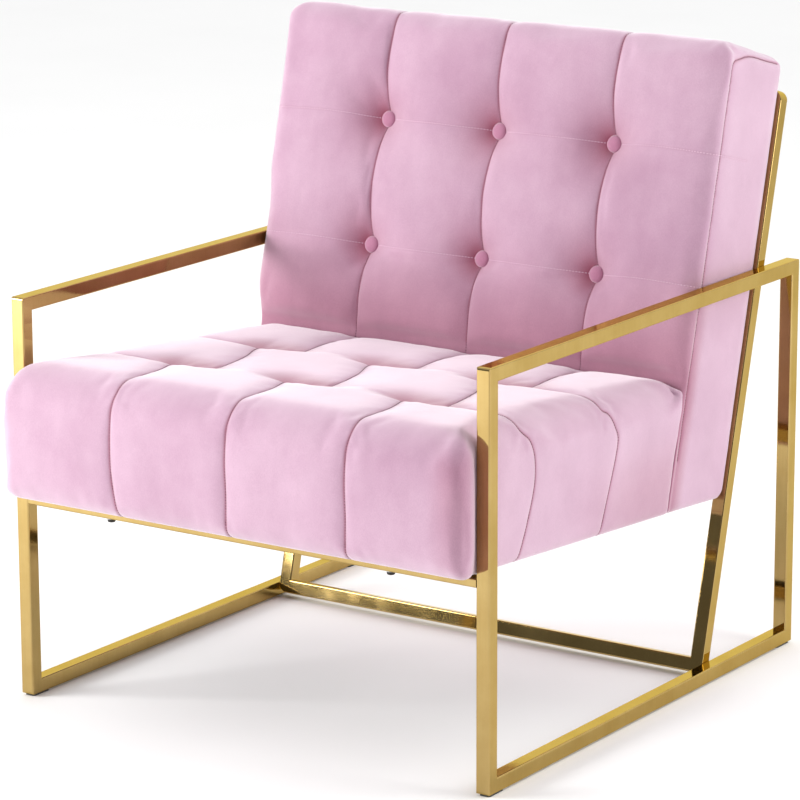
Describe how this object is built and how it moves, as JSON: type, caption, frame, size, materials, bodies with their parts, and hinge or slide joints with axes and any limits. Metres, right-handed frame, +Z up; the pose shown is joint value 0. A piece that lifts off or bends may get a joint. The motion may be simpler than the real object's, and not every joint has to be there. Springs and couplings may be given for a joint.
{
  "type": "upholstered armchair",
  "caption": "Low lounge armchair: tufted velvet seat and leaning buttoned back carried on a polished square-tube metal frame with open sides.",
  "frame": {"origin": "on the floor, in the middle of the chair's outline seen from above", "axes": "+X to the right of a person looking at the chair's front, +Y towards its back, +Z up"},
  "size_m": [0.76, 0.8386, 0.8531],
  "materials": {
    "gold_frame": "polished",
    "velvet": "matte",
    "foam": "matte",
    "timber": "matte",
    "plywood": "matte",
    "dust_cloth": "matte",
    "glide": "matte",
    "black_steel": "satin",
    "zinc_steel": "satin",
    "twine": "matte"
  },
  "bodies": {
    "root": {"back_bolts": "black_steel", "back_bottom_batten": "timber", "back_button_1": "velvet", "back_button_2": "velvet", "back_button_3": "velvet", "back_button_4": "velvet", "back_button_5": "velvet", "back_button_6": "velvet", "back_button_twine": "twine", "back_cover": "velvet", "back_foam": "foam", "back_left_stile": "timber", "back_panel": "plywood", "back_right_stile": "timber", "back_top_batten": "timber", "bolt_washers": "zinc_steel", "carcass_bolts": "black_steel", "front_left_glide": "glide", "front_right_glide": "glide", "front_seat_rail": "gold_frame", "left_armrest": "gold_frame", "left_front_post": "gold_frame", "left_rear_post": "gold_frame", "left_runner": "gold_frame", "rear_bottom_rail": "gold_frame", "rear_left_glide": "glide", "rear_left_upright": "gold_frame", "rear_right_glide": "glide", "rear_right_upright": "gold_frame", "rear_seat_rail": "gold_frame", "rear_top_rail": "gold_frame", "right_armrest": "gold_frame", "right_front_post": "gold_frame", "right_rear_post": "gold_frame", "right_runner": "gold_frame", "seat_bolts": "black_steel", "seat_cover": "velvet", "seat_deck": "plywood", "seat_dust_cover": "dust_cloth", "seat_foam": "foam", "seat_front_batten": "timber", "seat_left_rail": "timber", "seat_rear_batten": "timber", "seat_right_rail": "timber", "seat_tuft_twine": "twine", "threaded_inserts": "zinc_steel", "tie_washers": "zinc_steel"}
  },
  "joints": []
}
